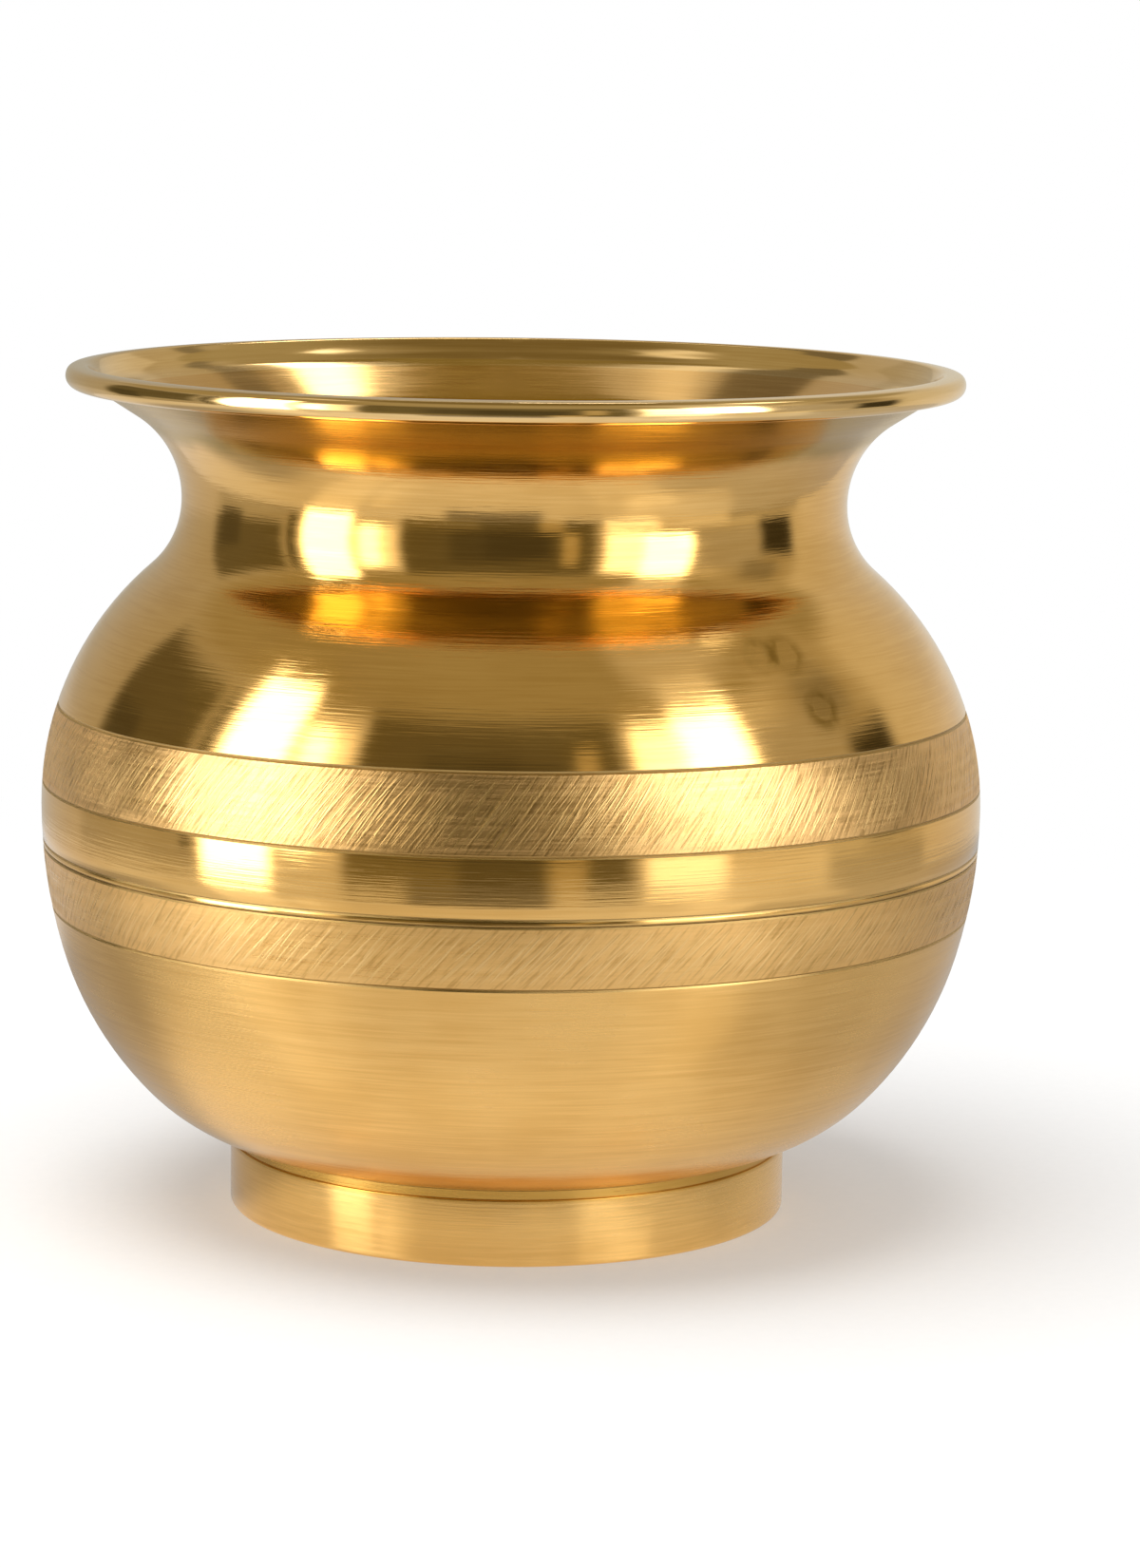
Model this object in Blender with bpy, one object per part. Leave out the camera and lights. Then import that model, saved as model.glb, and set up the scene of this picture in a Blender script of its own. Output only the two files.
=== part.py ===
"""A brass kalash pot as the workshop builds it, from turned and brazed pieces.

An upper shell of spun sheet, with shoulder, neck and flared mouth, is lapped over a spun
lower bowl. The lip is rolled round a wire. A hoop is brazed under the bowl as its foot.
Metres, +Z up. The axis of the pot is Z, and the foot stands on Z = 0.
"""

import math

import bpy
from mathutils import Vector

MM = 0.001

# Driving dimensions: the outer surface of the pot
TOTAL_HEIGHT = 80.0 * MM
BELLY_RADIUS = 44.5 * MM
BELLY_HEIGHT = 38.75 * MM
RIM_RADIUS = 42.1 * MM
FOOT_RADIUS = 26.55 * MM
FOOT_HEIGHT = 6.3 * MM

# The outline is a chain of tangent arcs, each a radius and the angle it turns through
BELLY_ARC, BELLY_TURN = 48.8 * MM, math.radians(16)
BOWL_ARC, BOWL_TURN = 31.5 * MM, math.radians(28)
HEEL_ARC, HEEL_TURN = 17.9 * MM, math.radians(46)
SHOULDER_ARC, SHOULDER_TURN = 29.3 * MM, math.radians(49.25)
NECK_ARC = 8.7 * MM
FLARE_ARC, FLARE_TURN = 9.4 * MM, math.radians(58)

# Sheet, hoop and wire
WALL = 0.8 * MM
LIP_WALL = 0.45 * MM
BEAD_RADIUS = 1.15 * MM
FOOT_WALL = 1.5 * MM
FOOT_LEDGE = 0.6 * MM
EDGE_ROUND = 0.4 * MM
SEAT_GAP = 0.25 * MM

# Turned lines: a cut above and below each of two bands, the lap seam being the third of four
UPPER_LINES = (48.2 * MM, 41.05 * MM)
SEAM_HEIGHT = 34.95 * MM
LOWER_LINE = 29.2 * MM
LINE_WIDTH, LINE_DEPTH = 0.45 * MM, 0.18 * MM

# A finer line close above the seam
FINE_LINE_RISE = 0.62 * MM
FINE_WIDTH, FINE_DEPTH = 0.36 * MM, 0.12 * MM

# Legs of the two fillets of spelter
BELLY_FILLET = 0.9 * MM
FOOT_FILLET = 1.4 * MM

# Facets round the axis, and the largest turn of an outline between two of its points
ROUND_STEPS = 60
OUTLINE_STEP = math.radians(10)
BEAD_STEP = math.radians(30)
WIRE_SIDES = 8

# The sheet round the wire, and where its cut edge stops short of the flare
CAVITY_RADIUS = BEAD_RADIUS - LIP_WALL
WIRE_RADIUS = CAVITY_RADIUS - SEAT_GAP
TUCK_ANGLE = math.asin(SEAT_GAP / CAVITY_RADIUS)
BEAD_CENTRE = Vector((RIM_RADIUS - BEAD_RADIUS, TOTAL_HEIGHT - BEAD_RADIUS))

# The lap runs from the seam up to the widest part of the belly
LAP_TURN = math.asin((BELLY_HEIGHT - SEAM_HEIGHT) / BELLY_ARC)
SEAM_RADIUS = BELLY_RADIUS - BELLY_ARC * (1 - math.cos(LAP_TURN))

BRASS = (0.83, 0.52, 0.18)
FOOT_BRASS = (0.82, 0.51, 0.18)
WIRE_BRASS = (0.74, 0.48, 0.18)
SPELTER = (0.84, 0.60, 0.27)

RADIUS, HEIGHT = 0, 1


class Outline:
    """An outline in the plane of radius and height, drawn by a pen that keeps its heading.

    Headings run anticlockwise from +radius, and a positive turn bends the pen to its left.
    """

    def __init__(self, start, heading):
        self.points = [Vector(start)]
        self.headings = [heading]

    def left(self, heading):
        return Vector((-math.sin(heading), math.cos(heading)))

    def arc(self, radius, turn):
        heading = self.headings[-1]
        side = math.copysign(radius, turn)
        centre = self.points[-1] + side * self.left(heading)
        steps = math.ceil(abs(turn) / OUTLINE_STEP)
        for step in range(1, steps + 1):
            turned = heading + turn * step / steps
            self.points.append(centre - side * self.left(turned))
            self.headings.append(turned)
        return self

    def line(self, length):
        heading = self.headings[-1]
        self.points.append(self.points[-1] + length * Vector((math.cos(heading), math.sin(heading))))
        self.headings.append(heading)
        return self

    def beside(self, distance):
        """The same outline, moved this far to the pen's left."""
        return [p + distance * self.left(h) for p, h in zip(self.points, self.headings)]


def crossing(points, measure, value):
    """Where an outline first crosses a value of one measure, its radius or its height."""
    for a, b in zip(points, points[1:]):
        if min(a[measure], b[measure]) <= value <= max(a[measure], b[measure]):
            return a.lerp(b, (value - a[measure]) / (b[measure] - a[measure]))
    raise ValueError(f"the outline has no point at {value}")


def with_turned_line(points, height, width=LINE_WIDTH, depth=LINE_DEPTH):
    """The falling outer outline with a V cut at a height."""
    top = crossing(points, HEIGHT, height + width / 2)
    middle = crossing(points, HEIGHT, height)
    bottom = crossing(points, HEIGHT, height - width / 2)
    along = (bottom - top).normalized()
    root = middle + depth * Vector((along.y, -along.x))
    above = [p for p in points if p.y > top.y]
    below = [p for p in points if p.y < bottom.y]
    return above + [top, root, bottom] + below


def round_about(centre, radius, start, turn, largest_step):
    """Points of an arc about a centre, both ends included."""
    steps = math.ceil(abs(turn) / largest_step)
    angles = (start + turn * step / steps for step in range(steps + 1))
    return [centre + radius * Vector((math.cos(a), math.sin(a))) for a in angles]


def turned(name, profile, closed, material, parent):
    """One piece turned about Z from a profile that runs down its outer side."""
    mesh = bpy.data.meshes.new(name)
    edges = [(i, i + 1) for i in range(len(profile) - 1)]
    if closed:
        edges.append((len(profile) - 1, 0))
    mesh.from_pydata([(p.x, 0, p.y) for p in profile], edges, [])
    piece = bpy.data.objects.new(name, mesh)
    bpy.context.scene.collection.objects.link(piece)
    piece.parent = parent
    mesh.materials.append(material)
    screw = piece.modifiers.new("turned", "SCREW")
    screw.axis = "Z"
    screw.steps = ROUND_STEPS
    screw.render_steps = ROUND_STEPS
    screw.use_merge_vertices = True
    screw.merge_threshold = 0.00001
    screw.use_smooth_shade = True
    return piece


def metal(name, colour, roughness):
    material = bpy.data.materials.new(name)
    material.use_nodes = True
    shader = material.node_tree.nodes["Principled BSDF"]
    shader.inputs["Base Color"].default_value = (*colour, 1)
    shader.inputs["Metallic"].default_value = 1
    shader.inputs["Roughness"].default_value = roughness
    return material


def upper_outline():
    """The outside of the upper shell, from the seam up to the straight run of the lip."""
    pen = Outline((SEAM_RADIUS, SEAM_HEIGHT), math.pi / 2 - LAP_TURN)
    pen.arc(BELLY_ARC, LAP_TURN)
    pen.arc(SHOULDER_ARC, SHOULDER_TURN)
    pen.arc(NECK_ARC, -SHOULDER_TURN)
    pen.arc(FLARE_ARC, -FLARE_TURN)
    return pen


def rolled_lip(root, heading):
    """The sheet rolled outwards round the wire: its inside from the root round to the cut edge,
    and its outside back to the upper face of the flare."""
    back = heading + math.pi
    roll = 2 * math.pi - TUCK_ANGLE
    inside = round_about(root, CAVITY_RADIUS, back, -roll, BEAD_STEP)
    meets_flare = back - math.asin(WALL / BEAD_RADIUS)
    tail = back - roll
    outside = round_about(root, BEAD_RADIUS, tail, meets_flare - tail, BEAD_STEP)
    return inside, outside


def make_upper_shell(material, parent):
    pen = upper_outline()
    to_bead = BEAD_CENTRE - pen.points[-1]
    cone = math.atan2(to_bead.y, to_bead.x)
    inside, outside = rolled_lip(BEAD_CENTRE, cone)
    skin = pen.points[::-1]
    for height in UPPER_LINES:
        skin = with_turned_line(skin, height)
    skin = with_turned_line(skin, SEAM_HEIGHT + FINE_LINE_RISE, FINE_WIDTH, FINE_DEPTH)
    chamfer_top = crossing(skin, HEIGHT, SEAM_HEIGHT + LINE_WIDTH / 2)
    seam_edge = skin.pop()
    skin += [chamfer_top, seam_edge - Vector((LINE_DEPTH, 0))]
    profile = outside[::-1] + inside[::-1] + skin + pen.beside(WALL)
    return turned("upper_shell", profile, True, material, parent)


def make_rim_wire(material, parent):
    step = 2 * math.pi / WIRE_SIDES
    ring = round_about(BEAD_CENTRE, WIRE_RADIUS, 0, -2 * math.pi + step, step)
    return turned("rim_wire", ring, True, material, parent)


def bowl_outline():
    """The outside of the lower bowl, from the seam down to the middle of its flat bottom."""
    pen = Outline((SEAM_RADIUS, SEAM_HEIGHT), -math.pi / 2 - LAP_TURN)
    pen.arc(BELLY_ARC, LAP_TURN - BELLY_TURN)
    pen.arc(BOWL_ARC, -BOWL_TURN)
    pen.arc(HEEL_ARC, -HEEL_TURN)
    pen.line(pen.points[-1].x)
    return pen


def flange_outline():
    """The belly line that the bowl's flange follows, from the seam up inside the shell."""
    pen = Outline((SEAM_RADIUS, SEAM_HEIGHT), math.pi / 2 - LAP_TURN)
    return pen.arc(BELLY_ARC, LAP_TURN)


def make_lower_bowl(material, parent):
    outer = with_turned_line(bowl_outline().points, LOWER_LINE)
    inner = bowl_outline().beside(-WALL)
    seam_edge = outer.pop(0)
    ledge_height = seam_edge.y - SEAT_GAP
    shoulder = crossing([seam_edge] + outer, HEIGHT, ledge_height - LINE_WIDTH / 2)
    flange_outside = flange_outline().beside(WALL + SEAT_GAP)
    flange_inside = flange_outline().beside(2 * WALL + SEAT_GAP)
    flange_root = Vector((flange_outside[0].x, ledge_height))
    ledge = Vector((seam_edge.x - LINE_DEPTH, ledge_height))
    joggle = crossing(inner, HEIGHT, seam_edge.y - 4 * WALL)
    rising = [p for p in inner[::-1] if p.y < joggle.y] + [joggle]
    falling = [shoulder] + [p for p in outer if p.y < shoulder.y]
    profile = rising + flange_inside + flange_outside[::-1] + [flange_root, ledge] + falling
    return turned("lower_bowl", profile, False, material, parent)


def make_belly_fillet(material, parent):
    """Spelter run along the flange's top edge, inside the pot."""
    inside_shell = upper_outline().beside(WALL + SEAT_GAP)
    foot = BELLY_HEIGHT + SEAT_GAP
    outer_foot = crossing(inside_shell, HEIGHT, foot)
    top = crossing(inside_shell, HEIGHT, foot + BELLY_FILLET)
    inner_foot = outer_foot - Vector((BELLY_FILLET, 0))
    return turned("belly_braze", [top, outer_foot, inner_foot], True, material, parent)


def make_foot_ring(material, parent):
    """The hoop. Behind a narrow ledge its upper face follows the bowl that is seated on it."""
    outside, inside = FOOT_RADIUS, FOOT_RADIUS - FOOT_WALL
    quarter, round_step = math.pi / 2, math.pi / 4
    high = Vector((outside - EDGE_ROUND, FOOT_HEIGHT - EDGE_ROUND))
    low = Vector((outside - EDGE_ROUND, EDGE_ROUND))
    profile = round_about(high, EDGE_ROUND, quarter, -quarter, round_step)
    profile += round_about(low, EDGE_ROUND, 0, -quarter, round_step)
    under_bowl = bowl_outline().beside(SEAT_GAP)
    ledge = Vector((outside - FOOT_LEDGE, FOOT_HEIGHT))
    seat = [crossing(under_bowl, RADIUS, radius) for radius in (inside, ledge.x)]
    profile += [Vector((inside, 0))] + seat + [ledge]
    return turned("foot_ring", profile, True, material, parent)


def make_foot_fillet(material, parent):
    """Spelter run round inside the hoop, where it meets the bottom of the bowl."""
    bottom = bowl_outline().beside(SEAT_GAP)
    wall = FOOT_RADIUS - FOOT_WALL - SEAT_GAP
    roof = min(p.y for p in bottom)
    corner = Vector((wall, roof))
    below = corner - Vector((0, FOOT_FILLET))
    within = corner - Vector((FOOT_FILLET, 0))
    return turned("foot_braze", [corner, below, within], True, material, parent)


def main():
    for old in list(bpy.data.objects):
        bpy.data.objects.remove(old, do_unlink=True)
    pot = bpy.data.objects.new("kalash_pot", None)
    bpy.context.scene.collection.objects.link(pot)
    spun = metal("spun_brass", BRASS, 0.24)
    hoop = metal("foot_brass", FOOT_BRASS, 0.30)
    wire = metal("wire_brass", WIRE_BRASS, 0.40)
    spelter = metal("spelter", SPELTER, 0.45)
    make_upper_shell(spun, pot)
    make_rim_wire(wire, pot)
    make_lower_bowl(spun, pot)
    make_belly_fillet(spelter, pot)
    make_foot_ring(hoop, pot)
    make_foot_fillet(spelter, pot)


main()
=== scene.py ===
# %% [markdown]
# # A turned brass pot
# The pot is spun from brass sheet on a lathe: an upper shell with shoulder, neck and flared mouth,
# and a lower bowl tucked up inside it. The lip is rolled round a wire, and a hoop is brazed on as
# a foot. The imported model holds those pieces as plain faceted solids. This lesson turns each of
# them again with fine facets, cuts the hatching into the two bands, and gives every surface the
# finish that the lathe and the polishing wheel leave.

# %% Load the frame
import math

import bpy
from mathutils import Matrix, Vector, noise


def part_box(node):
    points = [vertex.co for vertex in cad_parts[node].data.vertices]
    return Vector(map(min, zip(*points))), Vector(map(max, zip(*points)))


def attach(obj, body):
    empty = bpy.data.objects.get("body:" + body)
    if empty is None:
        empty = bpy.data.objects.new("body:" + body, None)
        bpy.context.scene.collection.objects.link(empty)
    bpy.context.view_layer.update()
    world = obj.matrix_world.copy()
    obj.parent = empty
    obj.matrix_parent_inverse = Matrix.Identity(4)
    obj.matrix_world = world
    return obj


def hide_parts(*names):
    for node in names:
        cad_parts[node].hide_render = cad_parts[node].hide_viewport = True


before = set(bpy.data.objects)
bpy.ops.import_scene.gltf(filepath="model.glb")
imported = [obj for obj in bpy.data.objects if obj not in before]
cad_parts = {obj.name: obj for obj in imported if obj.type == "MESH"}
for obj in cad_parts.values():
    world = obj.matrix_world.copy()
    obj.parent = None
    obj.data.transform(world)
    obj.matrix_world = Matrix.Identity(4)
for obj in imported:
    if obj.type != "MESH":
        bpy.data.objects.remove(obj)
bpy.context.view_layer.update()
MM = 0.001
print("nodes:", ", ".join(sorted(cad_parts)))

# %% [markdown]
# ## The camera
# The photograph was taken from a little above the rim, close to the pot, with a slight tilt of the
# camera to one side. A camera that was found by matching the ellipses of the rim, the belly and the
# foot puts every edge where the photograph has it. The lens value assumes a 36 mm sensor along the
# picture's long side, and the shift moves the pot a little left of the middle.

# %% Place the camera
PHOTO_WIDTH, PHOTO_HEIGHT = 1200, 1650
AIM_PIXEL = (537.9, 833.0)
AIM_HEIGHT = 39.56 * MM
CAMERA_DISTANCE = 445 * MM
CAMERA_ELEVATION = math.radians(9.32)
CAMERA_ROLL = math.radians(0.68)
SENSOR_MM, LENS_MM = 36, 107.32

camera_data = bpy.data.cameras.new("camera")
camera_data.sensor_width = SENSOR_MM
camera_data.lens = LENS_MM
camera_data.clip_start = 0.01
camera_data.shift_x = (PHOTO_WIDTH / 2 - AIM_PIXEL[0]) / PHOTO_HEIGHT
camera_data.shift_y = (AIM_PIXEL[1] - PHOTO_HEIGHT / 2) / PHOTO_HEIGHT
camera = bpy.data.objects.new("camera", camera_data)
bpy.context.scene.collection.objects.link(camera)
camera.location = (
    0,
    -CAMERA_DISTANCE * math.cos(CAMERA_ELEVATION),
    AIM_HEIGHT + CAMERA_DISTANCE * math.sin(CAMERA_ELEVATION),
)
camera.rotation_euler = (math.pi / 2 - CAMERA_ELEVATION, 0, 0)
camera.rotation_euler.rotate_axis("Z", CAMERA_ROLL)
bpy.context.scene.camera = camera
print("camera at", [round(c, 3) for c in camera.location])

# %% [markdown]
# ## Wiring nodes in a script
# Materials and Geometry Nodes are both trees of nodes. A small class keeps the script short: it adds
# a node, sets its properties, and either links a socket or gives it a value.

# %% A class that wires nodes
class Wiring:
    """Adds nodes to one tree, and links or sets their sockets."""

    def __init__(self, tree):
        self.tree = tree

    def plug(self, value, socket):
        if isinstance(value, bpy.types.NodeSocket):
            self.tree.links.new(value, socket)
        else:
            socket.default_value = value

    def feed(self, node, sockets):
        for socket, value in sockets.items():
            self.plug(value, node.inputs[socket])

    def add(self, kind, sockets=None, **settings):
        node = self.tree.nodes.new(kind)
        for name, value in settings.items():
            setattr(node, name, value)
        self.feed(node, sockets or {})
        return node

    def out(self, kind, sockets=None, **settings):
        """Adds a node and gives its first output."""
        return self.add(kind, sockets, **settings).outputs[0]

    def math(self, operation, a, b=0.0):
        return self.out("ShaderNodeMath", {0: a, 1: b}, operation=operation)

    def product(self, first, *others):
        for other in others:
            first = self.math("MULTIPLY", first, other)
        return first

    def vector(self, operation, a, b=(0, 0, 0)):
        return self.out("ShaderNodeVectorMath", {0: a, 1: b}, operation=operation)

    def scaled(self, vector, factor):
        return self.out("ShaderNodeVectorMath", {0: vector, "Scale": factor}, operation="SCALE")

    def combine(self, x, y, z):
        return self.out("ShaderNodeCombineXYZ", {0: x, 1: y, 2: z})

    def split(self, vector):
        return self.add("ShaderNodeSeparateXYZ", {0: vector}).outputs

    def place(self):
        """Where a point of a surface lies, along the axes of its object."""
        return self.add("ShaderNodeTexCoord").outputs["Object"]

    def direction(self, x, y):
        """The angle round the axis, counted from the front towards the right."""
        return self.math("ARCTAN2", x, self.product(y, -1.0))

    def ramp(self, value, low, high, at_low=0.0, at_high=1.0, smooth=True):
        """A value that goes from at_low to at_high as another goes from low to high."""
        kind = "SMOOTHSTEP" if smooth else "LINEAR"
        sockets = {0: value, 1: low, 2: high, 3: at_low, 4: at_high}
        return self.out("ShaderNodeMapRange", sockets, interpolation_type=kind)

    def between(self, value, low, high, soft):
        """1 where a value lies between two limits, fading to 0 over a soft edge."""
        rises = self.ramp(value, low - soft, low + soft)
        falls = self.ramp(value, high - soft, high + soft, 1.0, 0.0)
        return self.product(rises, falls)

    def noise(self, vector, detail=2.0):
        return self.out("ShaderNodeTexNoise", {"Vector": vector, "Scale": 1.0, "Detail": detail})

    def bump(self, height, distance, **under):
        sockets = {"Strength": 1.0, "Distance": distance, "Height": height} | under
        return self.out("ShaderNodeBump", sockets)

    def mix(self, factor, a, b, blend="MIX"):
        sockets = {0: factor, 6: a, 7: b}
        return self.add("ShaderNodeMix", sockets, data_type="RGBA", blend_type=blend).outputs[2]


# %% [markdown]
# ## The outline of the pot
# A turned shape is known from half of its section. This one is a chain of arcs that run smoothly
# into each other, so a pen that keeps its heading can draw it: each arc is a radius and a turn.
# The sizes that the solids already hold are read from their boxes.

# %% Sizes
WALL = 0.8 * MM
LIP_WALL = 0.45 * MM
SEAT_GAP = 0.25 * MM
SEAM_FILM = 0.05 * MM
LINE_WIDTH = 0.32 * MM
LINE_DEPTH = 0.11 * MM
SEAM_LINE_RISE = 0.62 * MM
SEAM_LINE_WIDTH = 0.26 * MM
SEAM_LINE_DEPTH = 0.08 * MM
JOGGLE_DROP = 3.2 * MM
UPPER_LINES = (48.2 * MM, 41.05 * MM)
LOWER_LINE = 29.2 * MM
BELLY_HEIGHT = 38.75 * MM

BELLY_ARC, BELLY_TURN = 48.8 * MM, math.radians(16)
BOWL_ARC, BOWL_TURN = 31.5 * MM, math.radians(28)
HEEL_ARC, HEEL_TURN = 17.9 * MM, math.radians(46)
SHOULDER_ARC, SHOULDER_TURN = 29.3 * MM, math.radians(49.25)
NECK_ARC = 8.7 * MM
FLARE_ARC, FLARE_TURN = 9.4 * MM, math.radians(58)

shell_low, shell_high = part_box("upper_shell")
wire_low, wire_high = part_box("rim_wire")
BELLY_RADIUS = shell_high.x
SEAM_HEIGHT = shell_low.z
WIRE_RADIUS = (wire_high.z - wire_low.z) / 2
BEAD_CENTRE = Vector((wire_high.x - WIRE_RADIUS, wire_high.z - WIRE_RADIUS))
CAVITY_RADIUS = WIRE_RADIUS + SEAM_FILM
BEAD_RADIUS = WIRE_RADIUS + SEAT_GAP + LIP_WALL
TUCK_ANGLE = math.asin(SEAT_GAP / CAVITY_RADIUS)
FOOT_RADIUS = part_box("foot_ring")[1].x
LAP_TURN = math.asin((BELLY_HEIGHT - SEAM_HEIGHT) / BELLY_ARC)
SEAM_RADIUS = BELLY_RADIUS - BELLY_ARC * (1 - math.cos(LAP_TURN))
print(f"belly {2 * BELLY_RADIUS / MM:.1f} mm across, seam at {SEAM_HEIGHT / MM:.2f} mm")

# %% A pen for outlines
OUTLINE_STEP = math.radians(2.5)
ROUND_STEP = math.radians(15)
QUARTER = math.pi / 2


class Pen:
    """Draws an outline of radius and height. A positive turn bends it to its left."""

    def __init__(self, start, heading):
        self.points = [Vector(start)]
        self.headings = [heading]

    def left(self, heading):
        return Vector((-math.sin(heading), math.cos(heading)))

    def arc(self, radius, turn, longest_step=OUTLINE_STEP):
        heading = self.headings[-1]
        side = math.copysign(radius, turn)
        centre = self.points[-1] + side * self.left(heading)
        steps = math.ceil(abs(turn) / longest_step)
        for step in range(1, steps + 1):
            turned = heading + turn * step / steps
            self.points.append(centre - side * self.left(turned))
            self.headings.append(turned)
        return self

    def line(self, length, steps=8):
        heading = self.headings[-1]
        step = length / steps * Vector((math.cos(heading), math.sin(heading)))
        for _ in range(steps):
            self.points.append(self.points[-1] + step)
            self.headings.append(heading)
        return self

    def beside(self, distance):
        return [p + distance * self.left(h) for p, h in zip(self.points, self.headings)]


def at_height(points, height):
    """Where an outline that only rises or only falls crosses a height."""
    for a, b in zip(points, points[1:]):
        if min(a.y, b.y) <= height <= max(a.y, b.y):
            return a.lerp(b, (height - a.y) / (b.y - a.y))
    raise ValueError(f"the outline has no point at {height}")


def cut_line(points, height, width=LINE_WIDTH, depth=LINE_DEPTH):
    """A rising outer outline with a V cut into it."""
    low, middle, high = (at_height(points, height + s * width / 2) for s in (-1, 0, 1))
    along = (high - low).normalized()
    root = middle + depth * Vector((-along.y, along.x))
    below = [p for p in points if p.y < low.y]
    above = [p for p in points if p.y > high.y]
    return below + [low, root, high] + above


def round_about(centre, radius, start, turn):
    """Points of an arc about a centre, both ends included."""
    steps = math.ceil(abs(turn) / ROUND_STEP)
    angles = (start + turn * i / steps for i in range(steps + 1))
    return [centre + radius * Vector((math.cos(a), math.sin(a))) for a in angles]


def upper_pen():
    pen = Pen((SEAM_RADIUS, SEAM_HEIGHT), QUARTER - LAP_TURN)
    pen.arc(BELLY_ARC, LAP_TURN)
    pen.arc(SHOULDER_ARC, SHOULDER_TURN)
    pen.arc(NECK_ARC, -SHOULDER_TURN)
    return pen.arc(FLARE_ARC, -FLARE_TURN)


def bowl_pen():
    pen = Pen((SEAM_RADIUS, SEAM_HEIGHT), -QUARTER - LAP_TURN)
    pen.arc(BELLY_ARC, LAP_TURN - BELLY_TURN)
    pen.arc(BOWL_ARC, -BOWL_TURN)
    return pen.arc(HEEL_ARC, -HEEL_TURN)


neck_radius = min(p.x for p in upper_pen().points)
print(f"neck {2 * neck_radius / MM:.1f} mm across, bottom at {bowl_pen().points[-1].y / MM:.2f} mm")

# %% [markdown]
# ## The lip
# Seen from the front, the lip is not a plain round bead. Its top was pressed flat on the lathe, its
# face leans back a little, and its inner edge is small and crisp, because that is where the light
# breaks in the photograph. Below it the inside runs down to the neck as a straight cone: the bright
# and dark columns in the mouth are straight, and only a cone draws them so.

# %% Outline of the lip and of the inside below it
# the radius in mm and the turn in degrees of each arc
LIP_ARCS = ((1.05, 80), (1.2, 35), (0.75, 53), (5.0, 12), (0.7, 45), (4.1, 18), (2.7, -30))
LIP_TAIL = 0.3 * MM
LIP_STEP = math.radians(6)
INSIDE_FLARE = 6.5 * MM


def lip_pen():
    """Round the lip: heel, face, brow, flat top, inner edge, inner side, and a fillet to the flare."""
    pen = Pen((0, 0), 0.0)
    for radius, turn in LIP_ARCS:
        pen.arc(radius * MM, math.radians(turn), LIP_STEP)
    rim, top = BEAD_CENTRE.x + BEAD_RADIUS, BEAD_CENTRE.y + BEAD_RADIUS
    shift = Vector((rim - max(p.x for p in pen.points), top - max(p.y for p in pen.points)))
    pen.points = [p + shift for p in pen.points]
    return pen


def hollow_outline(start, heading):
    """Down the inside from the lip: a straight cone, a tight bend, and then beside the outside."""
    waist = min(upper_pen().points, key=lambda p: p.x) - Vector((WALL, 0))
    bend = 3 * QUARTER - heading
    pen = Pen(start, heading)
    pen.line((waist.x - start.x) / math.cos(heading) - INSIDE_FLARE * math.tan(bend / 2))
    pen.arc(INSIDE_FLARE, bend)
    pen.line(pen.points[-1].y - waist.y)
    pen.arc(NECK_ARC + WALL, SHOULDER_TURN)
    pen.arc(SHOULDER_ARC - WALL, -SHOULDER_TURN)
    return pen.arc(BELLY_ARC - WALL, -LAP_TURN).points


print("outline of the lip:", len(lip_pen().points), "points")

# %% [markdown]
# ## The upper shell
# The shell is one sheet, so its outline goes up the outside, round the lip and down the inside. A
# Solidify modifier would also give a sheet its thickness, but not a lip with a section of its own.
# The lower edge is chamfered where it meets the bowl, and that makes the third of the pot's lines.

# %% Outline of the upper shell
def upper_shell_outline():
    """Three stretches: up the outside, round the rolled lip, and down the inside to the seam."""
    pen = upper_pen()
    skin = cut_line(pen.points, SEAM_HEIGHT + SEAM_LINE_RISE, SEAM_LINE_WIDTH, SEAM_LINE_DEPTH)
    for height in UPPER_LINES:
        skin = cut_line(skin, height)
    chamfer_top = at_height(skin, SEAM_HEIGHT + LINE_WIDTH / 2)
    edge = skin[0] - Vector((LINE_DEPTH, 0))
    skin = [edge, chamfer_top] + [p for p in skin if p.y > chamfer_top.y]
    to_bead = BEAD_CENTRE - pen.points[-1]
    back = math.atan2(to_bead.y, to_bead.x) + math.pi
    roll = 2 * math.pi - TUCK_ANGLE
    outward = Vector((math.cos(back - roll), math.sin(back - roll)))
    tail = BEAD_CENTRE + (CAVITY_RADIUS + LIP_TAIL) * outward
    over = lip_pen()
    lip = round_about(BEAD_CENTRE, CAVITY_RADIUS, back, -roll) + [tail] + over.points
    inside = hollow_outline(over.points[-1], over.headings[-1])[1:] + [edge]
    return skin, lip, inside


print("outline of the shell:", [len(stretch) for stretch in upper_shell_outline()], "points")

# %% [markdown]
# ## The lower bowl
# The top edge of the bowl is set in by one sheet, so that it slides up inside the shell and the two
# outsides run on in one curve. From outside, a bowl that ends at the seam would look the same. The
# flange is drawn all the same, because it shows to anyone who looks down into the mouth.

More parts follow.
